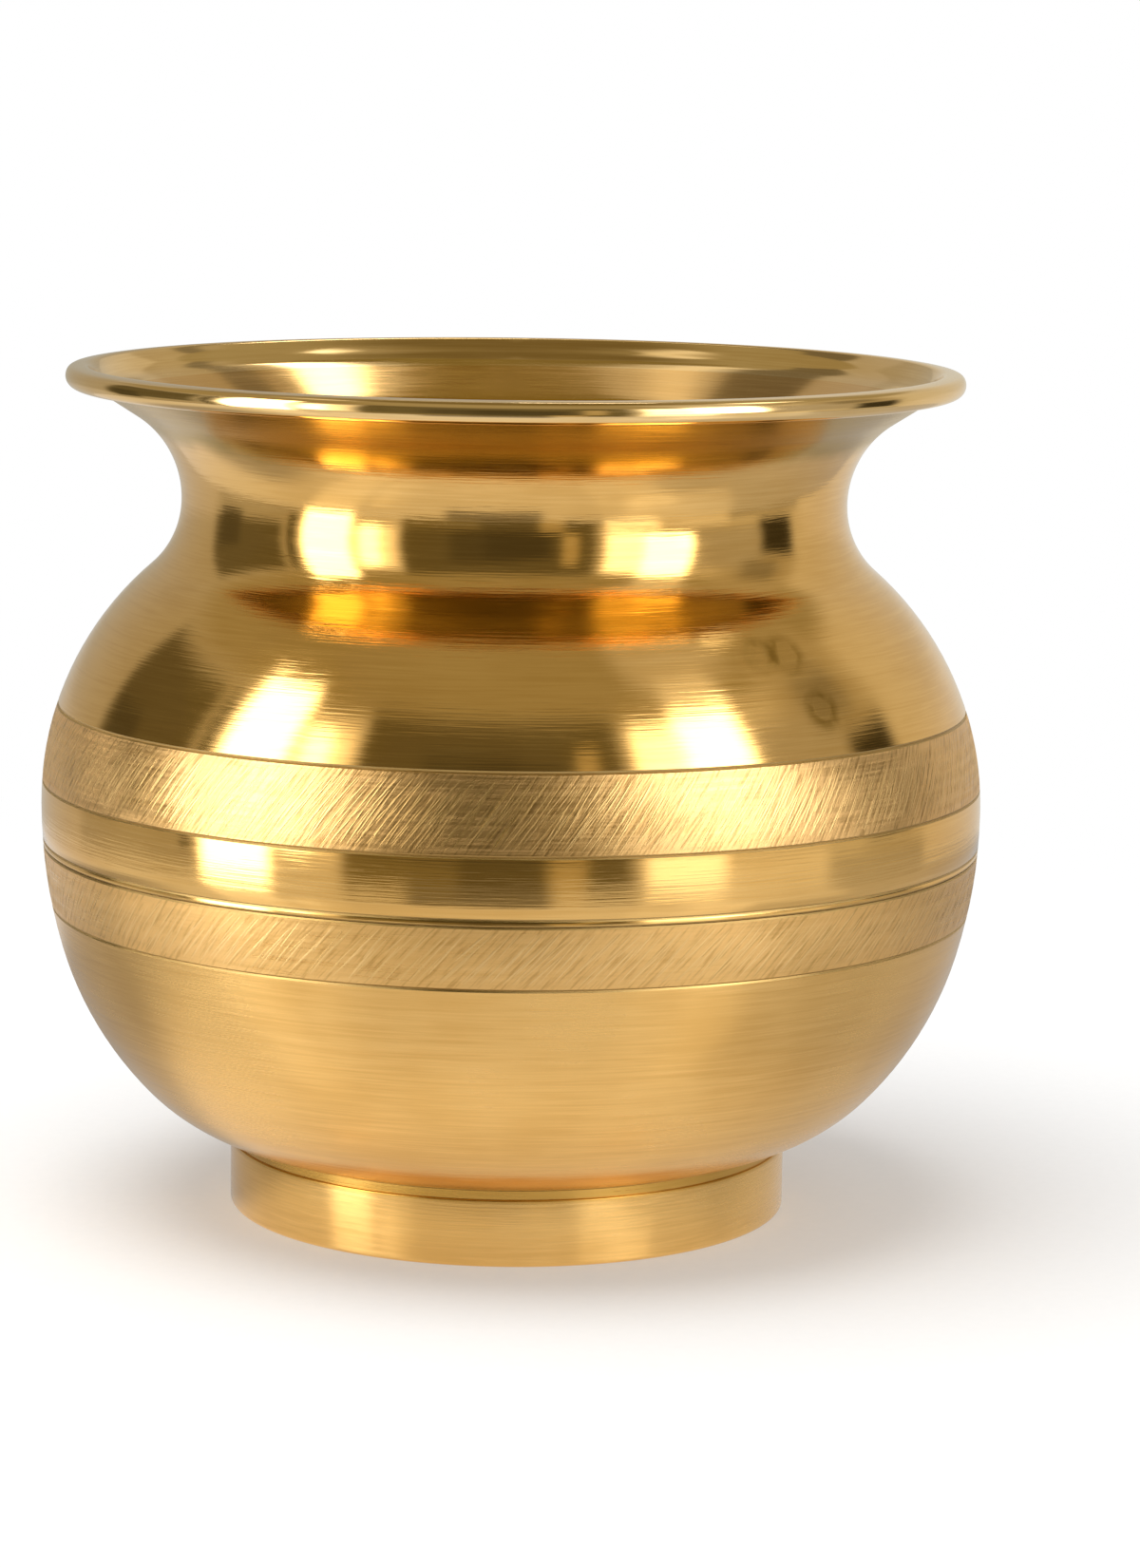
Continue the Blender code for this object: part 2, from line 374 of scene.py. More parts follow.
# %% Outline of the lower bowl
def lower_bowl_outline():
    """Two stretches: up the outside from the middle of the bottom, and back inside to the floor."""
    pen = bowl_pen()
    outer = cut_line(pen.points[::-1], LOWER_LINE)
    inner = pen.beside(-WALL)
    ledge_height = SEAM_HEIGHT - SEAM_FILM
    shoulder = at_height(outer, ledge_height - LINE_WIDTH / 2)
    flange = Pen((SEAM_RADIUS, SEAM_HEIGHT), QUARTER - LAP_TURN).arc(BELLY_ARC, LAP_TURN)
    flange_outside = flange.beside(WALL + SEAT_GAP)
    flange_inside = flange.beside(2 * WALL + SEAT_GAP)[::-1]
    ledge = Vector((SEAM_RADIUS - LINE_DEPTH, ledge_height))
    root = Vector((flange_outside[0].x, ledge_height))
    joggle = at_height(inner, SEAM_HEIGHT - JOGGLE_DROP)
    bottom, floor = Vector((0, outer[0].y)), Vector((0, inner[-1].y))
    outside = [bottom] + [p for p in outer if p.y < shoulder.y] + [shoulder, ledge]
    inside = [root] + flange_outside + flange_inside + [joggle]
    inside += [p for p in inner if p.y < joggle.y] + [floor]
    return outside, inside


print("outline of the bowl:", [len(stretch) for stretch in lower_bowl_outline()], "points")

# %% [markdown]
# ## The foot and its joints
# The foot is a low hoop with rounded edges, and the heel of the bowl rests on its top. Spelter holds
# the hoop and the flange, and lies in their corners as a fillet. A Bevel modifier rounds the edges of
# one mesh only, and these are separate pieces, so each fillet gets a small outline of its own.

# %% Outlines of the foot and the fillets of spelter
FOOT_HEIGHT = 6.3 * MM
FOOT_WALL = 1.5 * MM
FOOT_LEDGE = 0.2 * MM
SEAT_FILM = 0.03 * MM
EDGE_ROUND = 0.4 * MM
TOP_ROUND = 0.15 * MM
BELLY_FILLET = 0.9 * MM
FOOT_FILLET = 1.4 * MM


def under_bowl(radius):
    """A point just under the bowl's heel, where the foot's land carries it."""
    flat_edge = bowl_pen().points[-1]
    centre = flat_edge + Vector((0, HEEL_ARC))
    drop = math.sqrt((HEEL_ARC + SEAT_FILM) ** 2 - (radius - centre.x) ** 2)
    return Vector((radius, centre.y - drop))


def foot_ring_outline():
    inside, ledge = FOOT_RADIUS - FOOT_WALL, FOOT_RADIUS - FOOT_LEDGE
    low = Vector((FOOT_RADIUS - EDGE_ROUND, EDGE_ROUND))
    high = Vector((FOOT_RADIUS - TOP_ROUND, FOOT_HEIGHT - TOP_ROUND))
    ring = round_about(low, EDGE_ROUND, -QUARTER, QUARTER) + round_about(high, TOP_ROUND, 0, QUARTER)
    ring += [Vector((ledge, FOOT_HEIGHT)), under_bowl(ledge), under_bowl(inside), Vector((inside, 0))]
    return ring + ring[:1]


def fillet_outline(corner, inwards, upwards, steps=6):
    """A hollow-faced fillet in a corner, given its leg towards the axis and its leg up or down."""
    centre = corner + Vector((-inwards, upwards))
    turns = [QUARTER * i / steps for i in range(steps + 1)]
    face = [centre + Vector((inwards * math.cos(a), -upwards * math.sin(a))) for a in turns]
    return [corner] + (face if upwards > 0 else face[::-1]) + [corner]


def belly_fillet_outline():
    """Spelter along the top edge of the bowl's flange, inside the pot."""
    inside_shell = upper_pen().beside(WALL + SEAT_GAP)
    corner = at_height(inside_shell, BELLY_HEIGHT + SEAT_GAP)
    return fillet_outline(corner, BELLY_FILLET, BELLY_FILLET)


def foot_fillet_outline():
    """Spelter round the inside of the hoop, under the bowl."""
    roof = min(p.y for p in bowl_pen().beside(SEAT_GAP))
    corner = Vector((FOOT_RADIUS - FOOT_WALL - SEAT_GAP, roof))
    return fillet_outline(corner, FOOT_FILLET, -FOOT_FILLET)


for outline in (foot_ring_outline, belly_fillet_outline, foot_fillet_outline):
    print(outline.__name__, len(outline()), "points")

# %% [markdown]
# ## A lathe made of Geometry Nodes
# Turning is a rule: every point of the outline goes round the axis. The tree below makes a grid with
# one column for each step round and one row for each point of the outline, and sends each grid point
# to its place. It also stores how far along the outline a point lies, because the turned lines of
# the finish follow that length, and it picks the finish of each row of faces.

# %% The lathe tree
FINISHES = 5
ROUND_STEPS = 256
WELD = 0.001 * MM


def new_tree(name, inputs):
    tree = bpy.data.node_groups.new(name, "GeometryNodeTree")
    tree.interface.new_socket("Geometry", in_out="INPUT", socket_type="NodeSocketGeometry")
    for label, kind in inputs:
        tree.interface.new_socket(label, in_out="INPUT", socket_type="NodeSocket" + kind)
    tree.interface.new_socket("Geometry", in_out="OUTPUT", socket_type="NodeSocketGeometry")
    given = tree.nodes.new("NodeGroupInput").outputs
    result = tree.nodes.new("NodeGroupOutput").inputs
    return Wiring(tree), given, result


def lathe_tree():
    """Turns an outline round the Z axis and gives each row of faces its finish."""
    inputs = [("Steps", "Int")] + [(f"Finish {i}", "Material") for i in range(FINISHES)]
    w, given, result = new_tree("lathe", inputs)
    counted = w.add("GeometryNodeAttributeDomainSize", {"Geometry": given["Geometry"]})
    rows = counted.outputs["Point Count"]
    columns = w.math("ADD", given["Steps"], 1)
    grid = w.add("GeometryNodeMeshGrid", {"Vertices X": columns, "Vertices Y": rows}).outputs["Mesh"]
    index = w.out("GeometryNodeInputIndex")

    def from_outline(value, row, kind):
        sockets = {"Geometry": given["Geometry"], "Value": value, "Index": row}
        return w.out("GeometryNodeSampleIndex", sockets, data_type=kind)

    def named(name, kind):
        return w.out("GeometryNodeInputNamedAttribute", {"Name": name}, data_type=kind)

    row = w.math("MODULO", index, rows)
    column = w.math("FLOOR", w.math("DIVIDE", index, rows))
    angle = w.product(w.math("DIVIDE", column, given["Steps"]), math.tau)
    start = from_outline(w.out("GeometryNodeInputPosition"), row, "FLOAT_VECTOR")
    spot = w.out("ShaderNodeVectorRotate", {"Vector": start, "Angle": angle}, rotation_type="Z_AXIS")
    along = from_outline(named("along", "FLOAT"), row, "FLOAT")
    sockets = {"Geometry": grid, "Name": "along", "Value": along}
    stored = w.out("GeometryNodeStoreNamedAttribute", sockets)
    turned = w.out("GeometryNodeSetPosition", {"Geometry": stored, "Position": spot})
    face_row = w.math("MODULO", index, w.math("SUBTRACT", rows, 1))
    finish = from_outline(named("finish", "INT"), face_row, "INT")
    turned = w.out("GeometryNodeSetMaterial", {"Geometry": turned, "Material": given["Finish 0"]})
    for i in range(1, FINISHES):
        same = w.out("FunctionNodeCompare", {2: finish, 3: i}, data_type="INT", operation="EQUAL")
        sockets = {"Geometry": turned, "Selection": same, "Material": given[f"Finish {i}"]}
        turned = w.out("GeometryNodeSetMaterial", sockets)
    welded = w.out("GeometryNodeMergeByDistance", {"Geometry": turned, "Distance": WELD})
    smooth = w.out("GeometryNodeSetShadeSmooth", {"Geometry": welded})
    w.plug(w.out("GeometryNodeRealizeInstances", {"Geometry": smooth}), result["Geometry"])
    return w.tree


LATHE = lathe_tree()
print("lathe tree:", len(LATHE.nodes), "nodes")

# %% [markdown]
# ## From a tree to a mesh
# As a modifier a tree stays changeable. The finished pieces are plain meshes instead, because then
# their sharp edges can be marked and their points moved. So the tree runs once on a starting mesh,
# and its result is kept. Edges that bend by more than the crease angle are sharp, the rest smooth.

# %% Run a tree and keep its mesh
CREASE = math.radians(32)


def set_inputs(modifier, values):
    """Sets a tree's inputs by the identifiers of their sockets."""
    for item in modifier.node_group.interface.items_tree:
        if item.in_out == "INPUT" and item.name in values:
            modifier[item.identifier] = values[item.name]


def grown(name, mesh, tree, values):
    """The plain mesh that a tree makes of a starting mesh."""
    seed = bpy.data.objects.new(name, mesh)
    bpy.context.scene.collection.objects.link(seed)
    modifier = seed.modifiers.new(tree.name, "NODES")
    modifier.node_group = tree
    set_inputs(modifier, values)
    depsgraph = bpy.context.evaluated_depsgraph_get()
    plain = bpy.data.meshes.new_from_object(seed.evaluated_get(depsgraph), depsgraph=depsgraph)
    for slot in reversed(range(len(plain.materials))):
        if plain.materials[slot] is None:
            plain.materials.pop(index=slot)
    seed.modifiers.remove(modifier)
    seed.data = plain
    bpy.data.meshes.remove(mesh)
    return seed


def turn(name, *stretches):
    """One piece turned from stretches of its outline, each a list of points and their finish."""
    points = [point for run, _ in stretches for point in run]
    finish_of = [finish for run, finish in stretches for _ in run]
    finishes = list(dict.fromkeys(finish_of))
    mesh = bpy.data.meshes.new(name + "_outline")
    edges = [(i, i + 1) for i in range(len(points) - 1)]
    mesh.from_pydata([(p.x, 0, p.y) for p in points], edges, [])
    lengths = [0.0]
    for a, b in zip(points, points[1:]):
        lengths.append(lengths[-1] + (b - a).length)
    mesh.attributes.new("along", "FLOAT", "POINT").data.foreach_set("value", lengths)
    rows = [finishes.index(finish) for finish in finish_of]
    mesh.attributes.new("finish", "INT", "POINT").data.foreach_set("value", rows)
    values = {"Steps": ROUND_STEPS} | {f"Finish {i}": finish for i, finish in enumerate(finishes)}
    piece = grown(name, mesh, LATHE, values)
    piece.data.set_sharp_from_angle(angle=CREASE)
    return piece


print("a turned piece has", ROUND_STEPS, "steps round")

# %% [markdown]
# ## Turned brass
# Polished brass has little colour of its own: it shows its surroundings, tinted gold. What makes it
# look turned is the fine lines that the tool and the polishing wheel leave round the pot. They tilt
# the surface a little up or down, so a reflection gets ragged edges along the lines, and they spread
# a highlight across them. Every finish below is the same metal with lines of another depth, another
# roughness and its own tint. The lines follow the length along the outline that the lathe stored.

# %% Wiring for a turned surface
FINE_PITCH, FINE_REACH = 0.20 * MM, 5.0
BROAD_PITCH, BROAD_REACH = 0.55 * MM, 2.0
GRAIN_DETAIL = 3.0


def new_material(name):
    material = bpy.data.materials.new(name)
    material.use_nodes = True
    return material


def wired(material):
    """The wiring of a material, and its main shader."""
    w = Wiring(material.node_tree)
    return w, w.tree.nodes["Principled BSDF"]


def turned_space(w):
    """The place of a point, two of its parts, and its length along the outline."""
    place = w.place()
    x, y, _ = w.split(place)
    along = w.add("ShaderNodeAttribute", attribute_name="along").outputs["Fac"]
    return place, x, y, along


def streaks(w, around, along, pitch, reach):
    """Noise drawn out into lines round the pot: pitch is their spacing, reach how many go round."""
    lifted = w.combine(0.0, 0.0, w.math("DIVIDE", along, pitch))
    return w.noise(w.vector("ADD", w.scaled(around, reach), lifted), GRAIN_DETAIL)


print(f"turned lines about {FINE_PITCH / MM:.2f} and {BROAD_PITCH / MM:.2f} mm apart")

# %% One finish
CLOUDS = 55.0
BROAD_TONE, FINE_TONE, CLOUD_TONE = 0.20, 0.30, 0.50
DARKER, LIGHTER = (0.92, 0.88, 0.80), (1.06, 1.07, 1.12)
CLOUD_DULLING = 0.35
BROAD_HEIGHT = 0.3
ACROSS_THE_LINES = 0.25


def shifted(colour, factors):
    """A colour with each of its parts multiplied, and none above 1."""
    return tuple(min(1.0, c * f) for c, f in zip(colour, factors)) + (1.0,)


def brass(name, colour, roughness, lines, anisotropy):
    """A turned brass finish. Lines is the height of its turned lines."""
    material = new_material(name)
    w, shader = wired(material)
    place, x, y, along = turned_space(w)
    around = w.vector("NORMALIZE", w.combine(x, y, 0.0))
    fine = streaks(w, around, along, FINE_PITCH, FINE_REACH)
    broad = streaks(w, around, along, BROAD_PITCH, BROAD_REACH)
    clouds = w.noise(w.scaled(place, CLOUDS), GRAIN_DETAIL)
    lined = w.math("ADD", w.product(broad, BROAD_TONE), w.product(fine, FINE_TONE))
    tone = w.math("ADD", lined, w.product(clouds, CLOUD_TONE))
    tint = w.mix(w.ramp(tone, 0.38, 0.62), shifted(colour, DARKER), shifted(colour, LIGHTER))
    rough = w.ramp(fine, 0.3, 0.7, roughness * 0.8, roughness * 1.2)
    rough = w.math("ADD", rough, w.ramp(clouds, 0.45, 0.72, 0.0, roughness * CLOUD_DULLING))
    height = w.math("ADD", fine, w.product(broad, BROAD_HEIGHT))
    bump = w.bump(height, lines)
    tangent = w.combine(w.product(y, -1.0), x, 0.0)
    w.feed(shader, {"Metallic": 1.0, "Base Color": tint, "Roughness": rough, "Normal": bump})
    spread = {"Anisotropic": anisotropy, "Anisotropic Rotation": ACROSS_THE_LINES, "Tangent": tangent}
    w.feed(shader, spread)
    return material


GOLD = (0.84, 0.51, 0.165)
polished = brass("polished_brass", GOLD, 0.10, 0.015 * MM, 0.4)
satin = brass("satin_brass", GOLD, 0.20, 0.016 * MM, 0.5)
bright = brass("bright_lip_brass", (0.88, 0.60, 0.26), 0.09, 0.001 * MM, 0.0)
inner = brass("inside_brass", (0.80, 0.49, 0.17), 0.09, 0.002 * MM, 0.2)
foot_finish = brass("turned_foot_brass", GOLD, 0.20, 0.010 * MM, 0.5)
cut_finish = brass("cut_line_brass", (0.50, 0.33, 0.12), 0.40, 0.001 * MM, 0.0)
wire_finish = brass("drawn_wire_brass", (0.74, 0.48, 0.18), 0.35, 0.004 * MM, 0.0)
print("turned finishes:", polished.name, satin.name, bright.name, inner.name, foot_finish.name)

# %% [markdown]
# ## Dried drops, painted shade and a paler inside
# Water that dries on brass leaves a ring and a dull film inside it. The photograph shows two small
# rings side by side and one below them, on the right of the shoulder. A ring is a distance from a
# spot on the surface, made uneven by noise, and mixed into the polished finish. Under the lip, in
# the crease above the foot and on the top of the foot, the tint is darker and the metal duller from
# one height to another: that darkening is painted shade. The belly was never polished inside: it
# stays paler and duller than the mouth, and the same function fades one into the other.

# %% Add the drops, the painted shade and the paler inside
# degrees from the front, height and radius in mm, and strength
DROPS = ((35.0, 57.1, 1.6, 0.8), (39.2, 57.0, 1.8, 1.0), (41.8, 52.3, 1.7, 0.95))
DROP_GRAIN, DROP_RAGGED = 420.0, 0.7
DROP_FILM, FILM_EDGE = 0.40, (0.4, 1.7)
RING_EDGES, RING_SOFT = (0.5, 1.1), 0.45
DROP_STAIN = (0.54, 0.50, 0.29, 1.0)
DROP_DULLING = 0.15
TINT_EDGE_GRAIN = 160.0
# the heights where a tint starts and is full, how ragged its edge is, its tint and its dullness; the
# darker tints are painted shade
SHADE_UNDER_LIP = (72.6 * MM, 74.4 * MM, 2.0 * MM, (0.60, 0.62, 0.34, 1.0), 0.11)
SHADE_ABOVE_FOOT = (8.4 * MM, 7.0 * MM, 0.8 * MM, (0.72, 0.76, 0.52, 1.0), 0.08)
SHADE_ON_FOOT_TOP = (5.8 * MM, 6.25 * MM, 0.2 * MM, (0.74, 0.70, 0.50, 1.0), 0.08)
DEEP_INSIDE = (64.0 * MM, 56.0 * MM, 3.0 * MM, (1.0, 1.15, 1.55, 1.0), 0.24)


def current(shader, name):
    """A socket of the shader and what is linked to it so far."""
    socket = shader.inputs[name]
    return socket, socket.links[0].from_socket


def add_drops(material, drops):
    """Dried drops: a patchy ring, with a dull film inside it."""
    w, shader = wired(material)
    (colour, tint), (rough, dull) = current(shader, "Base Color"), current(shader, "Roughness")
    place = w.place()
    uneven = w.math("SUBTRACT", w.noise(w.scaled(place, DROP_GRAIN), GRAIN_DETAIL), 0.5)
    patchy = w.ramp(w.noise(w.scaled(place, DROP_GRAIN)), 0.40, 0.60, 0.45, 1.0)
    for degrees, height, radius, strength in drops:
        angle, size = math.radians(degrees), radius * MM
        reach = at_height(upper_pen().points, height * MM).x
        spot = (reach * math.sin(angle), -reach * math.cos(angle), height * MM)
        node = w.add("ShaderNodeVectorMath", {0: place, 1: spot}, operation="DISTANCE")
        far = w.math("ADD", node.outputs["Value"], w.product(uneven, size * DROP_RAGGED))
        film = w.ramp(far, size * FILM_EDGE[0], size * FILM_EDGE[1], DROP_FILM, 0.0)
        ring = w.between(far, size * RING_EDGES[0], size * RING_EDGES[1], size * RING_SOFT)
        stain = w.product(w.math("MAXIMUM", w.product(ring, patchy), film), strength)
        tint = w.mix(stain, tint, DROP_STAIN, blend="MULTIPLY")
        dull = w.math("ADD", dull, w.product(film, DROP_DULLING))
    w.plug(tint, colour)
    w.plug(dull, rough)


def add_tint_and_painted_shade(material, start_height, full, ragged, film, dulled):
    """Another tint and duller metal from one height to another, with an uneven edge. Where the tint is
    darker, it is painted shade.
    """
    w, shader = wired(material)
    (colour, tint), (rough, dull) = current(shader, "Base Color"), current(shader, "Roughness")
    place = w.place()
    stray = w.math("SUBTRACT", w.noise(w.scaled(place, TINT_EDGE_GRAIN), GRAIN_DETAIL), 0.5)
    height = w.math("ADD", w.split(place)[2], w.product(stray, ragged))
    share = w.ramp(height, start_height, full)
    w.plug(w.mix(share, tint, film, blend="MULTIPLY"), colour)
    w.plug(w.math("ADD", dull, w.product(share, dulled)), rough)


add_drops(polished, DROPS)
# painted shade: a darker tint under the lip, in the crease above the foot and on the top of the foot
add_tint_and_painted_shade(polished, *SHADE_UNDER_LIP)
add_tint_and_painted_shade(satin, *SHADE_ABOVE_FOOT)
add_tint_and_painted_shade(foot_finish, *SHADE_ON_FOOT_TOP)
add_tint_and_painted_shade(inner, *DEEP_INSIDE)
# the tarnish in this text is painted shade
print(len(DROPS), "dried drops, tarnish under the lip and above the foot, and a duller inside")

# %% [markdown]
# ## Hatched bands
# Two bands round the belly are hatched with a graver: slanting strokes, close together above and
# looser below. The strokes that can be told apart are modelled further on. Between them the metal
# is covered with finer scratches of the same slant, and those are a bump on top of the turned lines,
# with painted shade in their bottoms.

# %% Finishes of the bands
UPPER_SLANT, LOWER_SLANT = math.radians(54), math.radians(47)
SCRATCH_LENGTH, SCRATCH_WIDTH = 3.0 * MM, 0.30 * MM
BAND_LINES = 0.006 * MM


def hatched(name, colour, roughness, slant, depth, shade):
    """A turned finish with slanting scratches, whose bottoms are darker by the shade: painted shade."""
    material = brass(name, colour, roughness, BAND_LINES, 0.0)
    w, shader = wired(material)
    _, x, y, along = turned_space(w)
    level = w.product(w.direction(x, y), BELLY_RADIUS)
    c, s = math.cos(slant), math.sin(slant)
    lengthwise = w.math("ADD", w.product(level, c), w.product(along, s))
    crosswise = w.math("SUBTRACT", w.product(level, s), w.product(along, c))
    lengths = w.math("DIVIDE", lengthwise, SCRATCH_LENGTH)
    widths = w.math("DIVIDE", crosswise, SCRATCH_WIDTH)
    scratches = w.noise(w.combine(lengths, widths, 0.0))
    (normal, lines), (surface, tint) = current(shader, "Normal"), current(shader, "Base Color")
    w.plug(w.bump(scratches, depth, Normal=lines), normal)
    # painted shade in the bottoms of the scratches
    scratch_bottom_shade = w.ramp(scratches, 0.30, 0.52, 1.0, 0.0)
    w.plug(w.mix(scratch_bottom_shade, tint, (shade, shade * 0.95, shade * 0.85, 1.0), blend="MULTIPLY"), surface)
    return material


upper_band = hatched("upper_band_brass", (0.80, 0.50, 0.20), 0.36, UPPER_SLANT, 0.036 * MM, 0.66)
lower_band = hatched("lower_band_brass", (0.80, 0.49, 0.175), 0.32, LOWER_SLANT, 0.024 * MM, 0.78)
graver = brass("graver_cut_brass", (0.84, 0.55, 0.22), 0.32, 0.001 * MM, 0.0)
print("hatched finishes:", upper_band.name, lower_band.name, graver.name)

# %% [markdown]
# ## Turning the pieces
# Each piece takes the place of its faceted solid: the same outline with finer facets. The finish
# changes at the cut lines, as on the pot, where the graver stops. The lines themselves are V-shaped
# cuts with a darker, duller finish of their own.

# %% Turn the shell, the bowl and the foot
HALF_LINE = LINE_WIDTH / 2


def banded(points, low, high, band, plain, lines):
    """Stretches of an outline: a band between two heights, cut lines, and the rest plain."""

    def finish(height):
        if any(abs(height - line) < HALF_LINE for line in lines):
            return cut_finish
        return band if low < height < high else plain

    pairs = zip(points, points[1:] + points[-1:])
    return [([a], finish((a.y + b.y) / 2)) for a, b in pairs]


def dress(piece, node):
    """Puts a piece in the place of a solid."""
    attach(piece, "root")
    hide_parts(node)
    names = [material.name for material in piece.data.materials]
    print(f"{piece.name}: {len(piece.data.polygons)} faces, {', '.join(names)}")


skin, lip, hollow = upper_shell_outline()
lines = UPPER_LINES + (SEAM_HEIGHT, SEAM_HEIGHT + SEAM_LINE_RISE)
skin = banded(skin, UPPER_LINES[1], UPPER_LINES[0], upper_band, polished, lines)
shell = turn("spun_upper_shell", *skin, (lip, bright), (hollow, inner))
dress(shell, "upper_shell")

outside, hollow = lower_bowl_outline()
lines = (LOWER_LINE, SEAM_HEIGHT - SEAM_FILM)
outside = banded(outside, LOWER_LINE, SEAM_HEIGHT, lower_band, satin, lines)
bowl = turn("spun_lower_bowl", *outside, (hollow, inner))
dress(bowl, "lower_bowl")

foot = turn("turned_foot_ring", (foot_ring_outline(), foot_finish))
dress(foot, "foot_ring")

# %% [markdown]
# ## Spelter
# The flange of the bowl and the foot are brazed. The spelter that ran out of the joint lies in the
# corner as a fillet with a hollow face, matt and a little lumpy. Both fillets are turned too, and
# then a noise pushes their points in and out. Its seed is set, because Blender takes the time of day
# as the seed otherwise, and the lumps would lie elsewhere in each run.

# %% Make the fillets
SPELTER_GRAIN, SPELTER_STAIN = 2500.0, 220.0
SPELTER_PALE, SPELTER_BROWN = (0.78, 0.55, 0.26, 1.0), (0.62, 0.38, 0.15, 1.0)
GRAIN_HEIGHT = 0.03 * MM
LUMP_SEED = 5
LUMP_SIZE, LUMP_HEIGHT = 2.2 * MM, 0.09 * MM


def spelter_finish():
    material = new_material("matt_spelter")
    w, shader = wired(material)
    place = w.place()
    grain = w.noise(w.scaled(place, SPELTER_GRAIN), GRAIN_DETAIL)
    stain = w.noise(w.scaled(place, SPELTER_STAIN))
    tint = w.mix(w.ramp(stain, 0.35, 0.65), SPELTER_PALE, SPELTER_BROWN)
    rough = w.ramp(grain, 0.3, 0.7, 0.38, 0.55)
    bump = w.bump(grain, GRAIN_HEIGHT)
    w.feed(shader, {"Metallic": 1.0, "Base Color": tint, "Roughness": rough, "Normal": bump})
    return material


def lumpy(piece):
    noise.seed_set(LUMP_SEED)
    for vertex in piece.data.vertices:
        vertex.co += LUMP_HEIGHT * noise.noise_vector(vertex.co / LUMP_SIZE)
    return piece


spelter = spelter_finish()
fillets = (
    ("belly_spelter", belly_fillet_outline(), "belly_braze"),
    ("foot_spelter", foot_fillet_outline(), "foot_braze"),
)
for name, points, node in fillets:
    dress(lumpy(turn(name, (points, spelter))), node)
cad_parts["rim_wire"].data.materials.clear()
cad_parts["rim_wire"].data.materials.append(wire_finish)
print("rim_wire keeps its solid, in", wire_finish.name)

# %% [markdown]
# ## Strokes of the graver
# A stroke is a sliver of metal turned up by the tool: long, thin and pointed at both ends. Points
# are scattered over the band, and each gets a sliver that leans along the slant. A sliver is made
# as a sphere with four sides, because that is pointed, closed and has few faces. It is flat, and the
# belly is round, so the last step moves every point of it to the belly's radius at its own height.

# %% A tree that hatches a band
HATCH_SIZES = ("Spacing", "Longest", "Width", "Rise", "Slant", "Low", "High", "Arc")
STROKES_PER_SQUARE_METRE = 4e6
SCATTER_SEED = 7
SLANT_STRAY = 0.07
SHORTEST_SHARE, THINNEST_SHARE = 0.5, 0.6
SLIVER_SIDES, SLIVER_RINGS = 4, 6
FLAT = 0.00001


def hatch_tree():
    """Scatters slivers over a strip of the belly, and bends them to its curve."""
    inputs = [(size, "Float") for size in HATCH_SIZES] + [("Finish", "Material")]
    w, given, result = new_tree("hatch", inputs)
    sockets = {"Mesh": given["Geometry"], "Distance Min": given["Spacing"]}
    sockets |= {"Density Max": STROKES_PER_SQUARE_METRE, "Seed": SCATTER_SEED}
    points = w.add("GeometryNodeDistributePointsOnFaces", sockets, distribute_method="POISSON")
    normal = points.outputs["Normal"]
    level = w.vector("NORMALIZE", w.vector("CROSS_PRODUCT", (0, 0, 1), normal))
    upright = w.vector("CROSS_PRODUCT", normal, level)

    def chance(low, high, seed):
        sockets = {2: low, 3: high, "Seed": seed}
        return w.add("FunctionNodeRandomValue", sockets, data_type="FLOAT").outputs[1]

    def position():
        return w.split(w.out("GeometryNodeInputPosition"))

    slant = w.math("ADD", given["Slant"], chance(-SLANT_STRAY, SLANT_STRAY, 1))
    sine, cosine = w.math("SINE", slant), w.math("COSINE", slant)
    lean = w.vector("ADD", w.scaled(level, cosine), w.scaled(upright, sine))
    sockets = {0: normal, 1: lean}
    axes = w.out("FunctionNodeAxesToRotation", sockets, primary_axis="Z", secondary_axis="X")
    height = position()[2]
    below, above = w.math("SUBTRACT", height, given["Low"]), w.math("SUBTRACT", given["High"], height)
    reach = w.math("DIVIDE", w.math("MINIMUM", below, above), sine)
    wanted = w.product(given["Longest"], chance(SHORTEST_SHARE, 1.0, 2))
    half_length = w.math("MINIMUM", w.product(wanted, 0.5), reach)
    width = w.product(given["Width"], chance(THINNEST_SHARE, 1.0, 3))
    size = w.combine(half_length, w.product(width, 0.5), 1.0)

    sockets = {"Segments": SLIVER_SIDES, "Rings": SLIVER_RINGS, "Radius": 1.0}
    sphere = w.add("GeometryNodeMeshUVSphere", sockets).outputs["Mesh"]
    lying = w.out("GeometryNodeTransform", {"Geometry": sphere, "Rotation": (0, QUARTER, 0)})
    rise = w.product(position()[2], given["Rise"])
    sockets = {"Geometry": lying, "Name": "rise", "Value": rise}
    sliver = w.out("GeometryNodeStoreNamedAttribute", sockets)
    flat = w.out("GeometryNodeTransform", {"Geometry": sliver, "Scale": (1, 1, FLAT)})
    sockets = {"Points": points.outputs["Points"], "Instance": flat, "Rotation": axes, "Scale": size}
    strokes = w.out("GeometryNodeInstanceOnPoints", sockets)
    real = w.out("GeometryNodeRealizeInstances", {"Geometry": strokes})

    x, y, z = position()
    arc, above = given["Arc"], w.math("SUBTRACT", z, BELLY_HEIGHT)
    square = w.math("SUBTRACT", w.product(arc, arc), w.product(above, above))
    bulge = w.math("SUBTRACT", w.math("SQRT", square), arc)
    raised = w.out("GeometryNodeInputNamedAttribute", {"Name": "rise"}, data_type="FLOAT")
    radius = w.math("ADD", w.math("ADD", bulge, BELLY_RADIUS), raised)
    outward = w.scaled(w.vector("NORMALIZE", w.combine(x, y, 0.0)), radius)
    on_belly = w.vector("ADD", outward, w.combine(0.0, 0.0, z))
    bent = w.out("GeometryNodeSetPosition", {"Geometry": real, "Position": on_belly})
    painted = w.out("GeometryNodeSetMaterial", {"Geometry": bent, "Material": given["Finish"]})
    w.plug(painted, result["Geometry"])
    return w.tree


